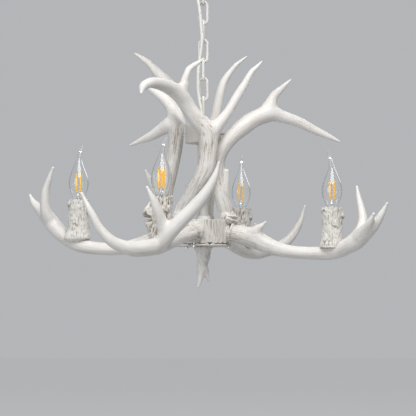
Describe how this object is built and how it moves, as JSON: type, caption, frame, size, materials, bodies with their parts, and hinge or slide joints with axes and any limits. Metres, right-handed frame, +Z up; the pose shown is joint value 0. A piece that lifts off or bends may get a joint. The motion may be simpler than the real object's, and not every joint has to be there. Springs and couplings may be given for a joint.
{
  "type": "antler chandelier",
  "caption": "Ceiling-hung chandelier of cast antlers around a central column, with bark-textured candle cups, flame-tip bulbs, chain, cord and canopy.",
  "frame": {"origin": "centre of the ceiling bracket's upper face, in the plane of the ceiling and on the axis of the fixture", "axes": "+Z up, +X to the right seen from the front, +Y to the back"},
  "size_m": [0.6192, 0.6132, 0.5819],
  "materials": {
    "zinc_steel": "zinc-plated, satin",
    "painted_steel": "off-white paint with worn edges",
    "bush_plastic": "moulded, matt",
    "cord_sheath": "off-white sheath, satin",
    "column_paint": "warm off-white paint",
    "antler_resin": "cast resin, white with a warm grey wash in the grooves",
    "bark_resin": "cast resin with a bark grain and a beige wash",
    "connector_plastic": "moulded",
    "holder_plastic": "moulded, heat-resistant",
    "cap_metal": "nickel-plated",
    "clear_glass": "clear, polished",
    "filament": "amber phosphor on glass sticks"
  },
  "bodies": {
    "ceiling": {"ceiling_bracket": "zinc_steel", "canopy_nipple": "zinc_steel", "canopy_lock_nut": "zinc_steel", "canopy": "painted_steel", "canopy_loop": "painted_steel", "canopy_cord_bush": "bush_plastic", "power_cord": "cord_sheath"},
    "chain_link_1": {"chain_link_1": "painted_steel"},
    "chain_link_2": {"chain_link_2": "painted_steel"},
    "chain_link_3": {"chain_link_3": "painted_steel"},
    "chain_link_4": {"chain_link_4": "painted_steel"},
    "chain_link_5": {"chain_link_5": "painted_steel"},
    "chain_link_6": {"chain_link_6": "painted_steel"},
    "chain_link_7": {"chain_link_7": "painted_steel"},
    "fixture": {"top_loop": "painted_steel", "hub_cord_bush": "bush_plastic", "upper_hub": "column_paint", "upper_rod_nut": "zinc_steel", "centre_rod": "column_paint", "lower_rod_nut": "zinc_steel", "hub_collar": "column_paint", "lower_hub": "bark_resin", "hub_bottom_plate": "bark_resin", "finial": "antler_resin", "plate_screws": "zinc_steel", "arm_bolts": "zinc_steel", "antler_screws": "zinc_steel", "wire_connectors": "connector_plastic", "upper_antler_left": "antler_resin", "lower_antler_left": "antler_resin", "candle_cup_left": "bark_resin", "lamp_nipple_left": "zinc_steel", "lamp_holder_left": "holder_plastic", "upper_antler_front": "antler_resin", "lower_antler_front": "antler_resin", "candle_cup_front": "bark_resin", "lamp_nipple_front": "zinc_steel", "lamp_holder_front": "holder_plastic", "upper_antler_right": "antler_resin", "lower_antler_right": "antler_resin", "candle_cup_right": "bark_resin", "lamp_nipple_right": "zinc_steel", "lamp_holder_right": "holder_plastic", "upper_antler_back": "antler_resin", "lower_antler_back": "antler_resin", "candle_cup_back": "bark_resin", "lamp_nipple_back": "zinc_steel", "lamp_holder_back": "holder_plastic"},
    "bulb_left": {"bulb_cap_left": "cap_metal", "bulb_glass_left": "clear_glass", "bulb_filaments_left": "filament"},
    "bulb_front": {"bulb_cap_front": "cap_metal", "bulb_glass_front": "clear_glass", "bulb_filaments_front": "filament"},
    "bulb_right": {"bulb_cap_right": "cap_metal", "bulb_glass_right": "clear_glass", "bulb_filaments_right": "filament"},
    "bulb_back": {"bulb_cap_back": "cap_metal", "bulb_glass_back": "clear_glass", "bulb_filaments_back": "filament"}
  },
  "joints": [
    {"name": "chain_swing_1", "type": "hinge", "parent": "ceiling", "child": "chain_link_1", "pos_m": [0, 0, -0.059], "axis": [1, 0, 0], "range_deg": [-20, 20], "deforming": ["power_cord"]},
    {"name": "chain_swing_2", "type": "hinge", "parent": "chain_link_1", "child": "chain_link_2", "pos_m": [0, 0, -0.0923], "axis": [0, 1, 0], "range_deg": [-20, 20], "deforming": ["power_cord"]},
    {"name": "chain_swing_3", "type": "hinge", "parent": "chain_link_2", "child": "chain_link_3", "pos_m": [0, 0, -0.1256], "axis": [-1, 0, 0], "range_deg": [-20, 20], "deforming": ["power_cord"]},
    {"name": "chain_swing_4", "type": "hinge", "parent": "chain_link_3", "child": "chain_link_4", "pos_m": [0, 0, -0.1589], "axis": [0, -1, 0], "range_deg": [-20, 20], "deforming": ["power_cord"]},
    {"name": "chain_swing_5", "type": "hinge", "parent": "chain_link_4", "child": "chain_link_5", "pos_m": [0, 0, -0.1922], "axis": [1, 0, 0], "range_deg": [-20, 20], "deforming": ["power_cord"]},
    {"name": "chain_swing_6", "type": "hinge", "parent": "chain_link_5", "child": "chain_link_6", "pos_m": [0, 0, -0.2255], "axis": [0, 1, 0], "range_deg": [-20, 20], "deforming": ["power_cord"]},
    {"name": "chain_swing_7", "type": "hinge", "parent": "chain_link_6", "child": "chain_link_7", "pos_m": [0, 0, -0.2588], "axis": [-1, 0, 0], "range_deg": [-20, 20], "deforming": ["power_cord"]},
    {"name": "chain_swing_8", "type": "hinge", "parent": "chain_link_7", "child": "fixture", "pos_m": [0, 0, -0.2921], "axis": [0, -1, 0], "range_deg": [-20, 20], "deforming": ["power_cord"]},
    {"name": "bulb_lift_left", "type": "slide", "parent": "fixture", "child": "bulb_left", "axis": [0, 0, 1], "range_m": [0, 0.03]},
    {"name": "bulb_lift_front", "type": "slide", "parent": "fixture", "child": "bulb_front", "axis": [0, 0, 1], "range_m": [0, 0.03]},
    {"name": "bulb_lift_right", "type": "slide", "parent": "fixture", "child": "bulb_right", "axis": [0, 0, 1], "range_m": [0, 0.03]},
    {"name": "bulb_lift_back", "type": "slide", "parent": "fixture", "child": "bulb_back", "axis": [0, 0, 1], "range_m": [0, 0.03]}
  ]
}
